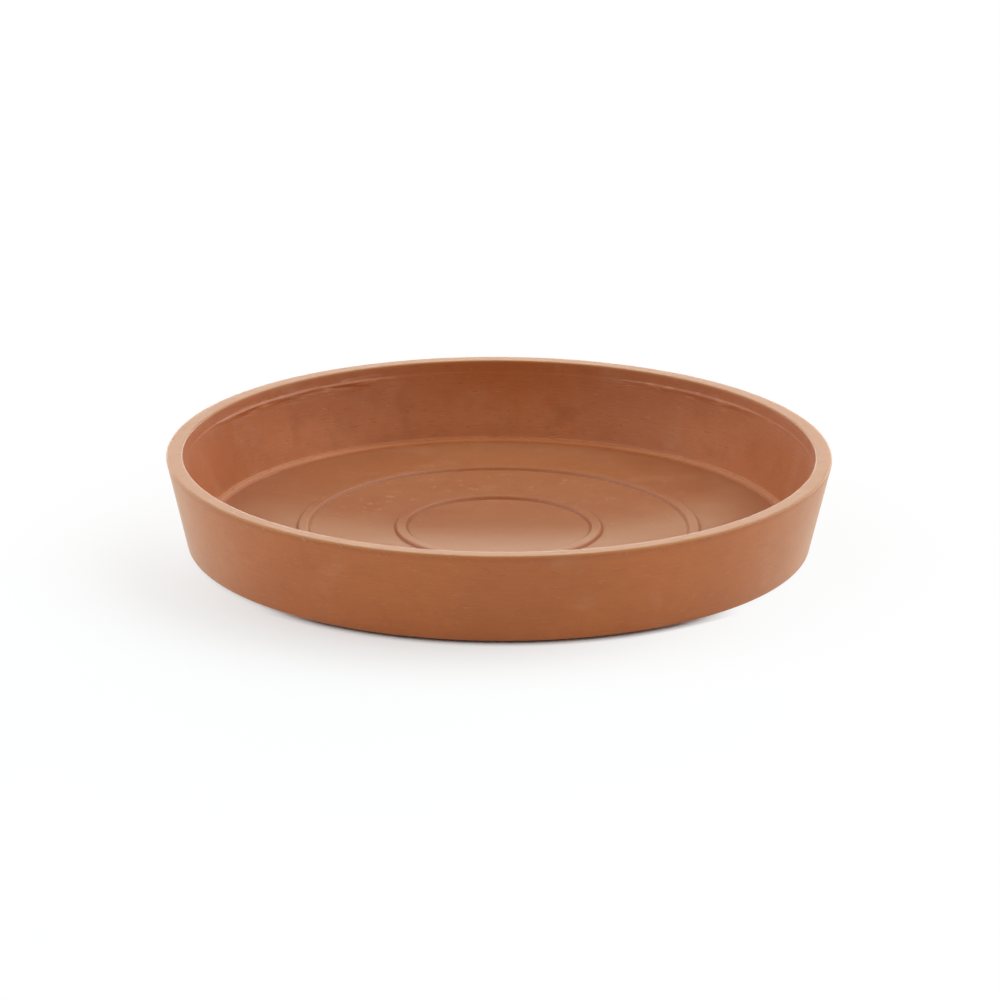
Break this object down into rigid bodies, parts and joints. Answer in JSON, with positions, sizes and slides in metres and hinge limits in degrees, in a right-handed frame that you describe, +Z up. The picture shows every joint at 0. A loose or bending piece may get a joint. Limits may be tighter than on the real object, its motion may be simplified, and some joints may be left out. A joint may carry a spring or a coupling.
{
  "type": "plant saucer",
  "caption": "Round terracotta-coloured plant saucer with a flared wall, flat rim, raised floor rings and thin pads under its base.",
  "frame": {"origin": "on the ground under the middle of the dish, where its pads stand", "axes": "+Z up along the dish's axis of revolution; +X through the first pad; +Y away from the viewer of the picture"},
  "size_m": [0.3, 0.3, 0.0427],
  "materials": {
    "terracotta": "matte",
    "pad": "matte"
  },
  "bodies": {
    "root": {"saucer_dish": "terracotta", "base_pad_1": "pad", "base_pad_2": "pad", "base_pad_3": "pad", "base_pad_4": "pad", "base_pad_5": "pad", "base_pad_6": "pad"}
  },
  "joints": []
}
